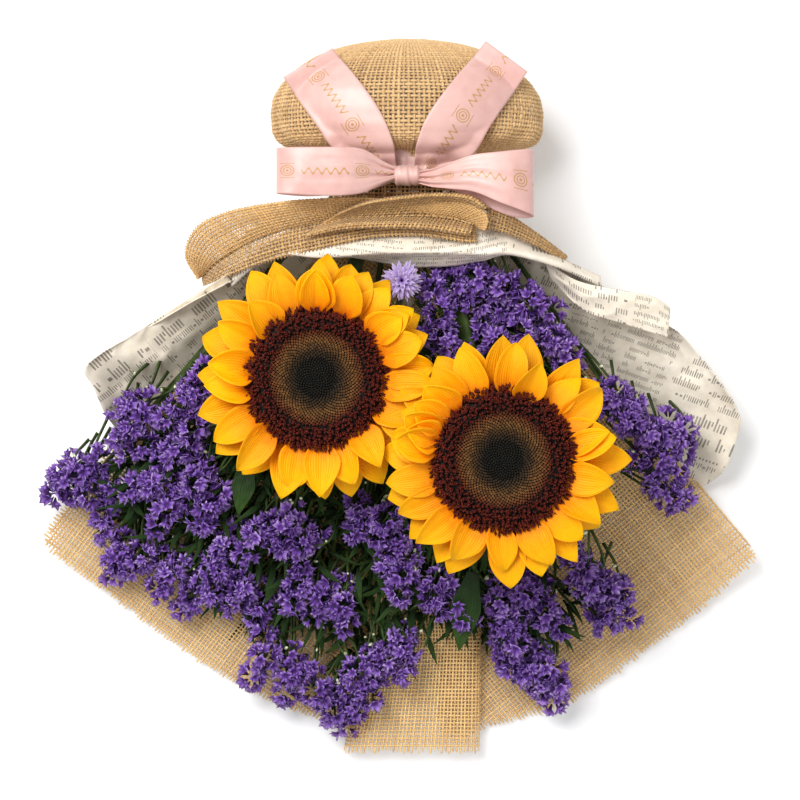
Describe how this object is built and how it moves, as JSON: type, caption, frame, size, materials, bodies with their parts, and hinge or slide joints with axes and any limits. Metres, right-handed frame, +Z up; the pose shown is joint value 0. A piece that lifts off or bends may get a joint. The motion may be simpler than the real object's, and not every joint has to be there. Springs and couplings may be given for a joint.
{
  "type": "bunch of sunflowers",
  "caption": "Tied bunch of sunflowers with statice sprays, lying in an open fan wrap of hessian and newsprint with a rounded stem pouch and a satin ribbon bow.",
  "frame": {"origin": "on the table, under the middle of the bunch's bounding box", "axes": "+Z up out of the blooms, +Y from the open end of the wrap towards the tied stem end, +X to the right of someone looking down with the stem end away from them"},
  "size_m": [0.4076, 0.4068, 0.124],
  "materials": {
    "aster_floret": "matte",
    "green_stem": "satin",
    "hessian": "matte",
    "leaf": "satin",
    "newsprint": "matte",
    "satin_ribbon": "satin",
    "statice_calyx": "matte",
    "calyx": "matte",
    "disc_floret": "matte",
    "ray_petal": "satin",
    "wet_pack": "matte"
  },
  "bodies": {
    "root": {"aster_bloom": "aster_floret", "aster_stem": "green_stem", "burlap_collar_inner": "hessian", "burlap_collar_outer": "hessian", "burlap_inner_fan": "hessian", "burlap_pouch": "hessian", "leaf_1": "leaf", "leaf_2": "leaf", "newsprint_back_sheet": "newsprint", "newsprint_front_fold": "newsprint", "newsprint_right_flap": "newsprint", "ribbon_band": "satin_ribbon", "ribbon_knot": "satin_ribbon", "ribbon_loop_left": "satin_ribbon", "ribbon_loop_right": "satin_ribbon", "ribbon_tail_left": "satin_ribbon", "ribbon_tail_right": "satin_ribbon", "statice_bloom_1": "statice_calyx", "statice_bloom_10": "statice_calyx", "statice_bloom_11": "statice_calyx", "statice_bloom_12": "statice_calyx", "statice_bloom_13": "statice_calyx", "statice_bloom_14": "statice_calyx", "statice_bloom_15": "statice_calyx", "statice_bloom_16": "statice_calyx", "statice_bloom_17": "statice_calyx", "statice_bloom_2": "statice_calyx", "statice_bloom_3": "statice_calyx", "statice_bloom_4": "statice_calyx", "statice_bloom_5": "statice_calyx", "statice_bloom_6": "statice_calyx", "statice_bloom_7": "statice_calyx", "statice_bloom_8": "statice_calyx", "statice_bloom_9": "statice_calyx", "statice_stem_1": "green_stem", "statice_stem_10": "green_stem", "statice_stem_2": "green_stem", "statice_stem_3": "green_stem", "statice_stem_4": "green_stem", "statice_stem_5": "green_stem", "statice_stem_6": "green_stem", "statice_stem_7": "green_stem", "statice_stem_8": "green_stem", "statice_stem_9": "green_stem", "sunflower_1_calyx": "calyx", "sunflower_1_disc": "disc_floret", "sunflower_1_ray_inner": "ray_petal", "sunflower_1_ray_outer": "ray_petal", "sunflower_1_stem": "green_stem", "sunflower_2_calyx": "calyx", "sunflower_2_disc": "disc_floret", "sunflower_2_ray_inner": "ray_petal", "sunflower_2_ray_outer": "ray_petal", "sunflower_2_stem": "green_stem", "wet_pack": "wet_pack"}
  },
  "joints": []
}
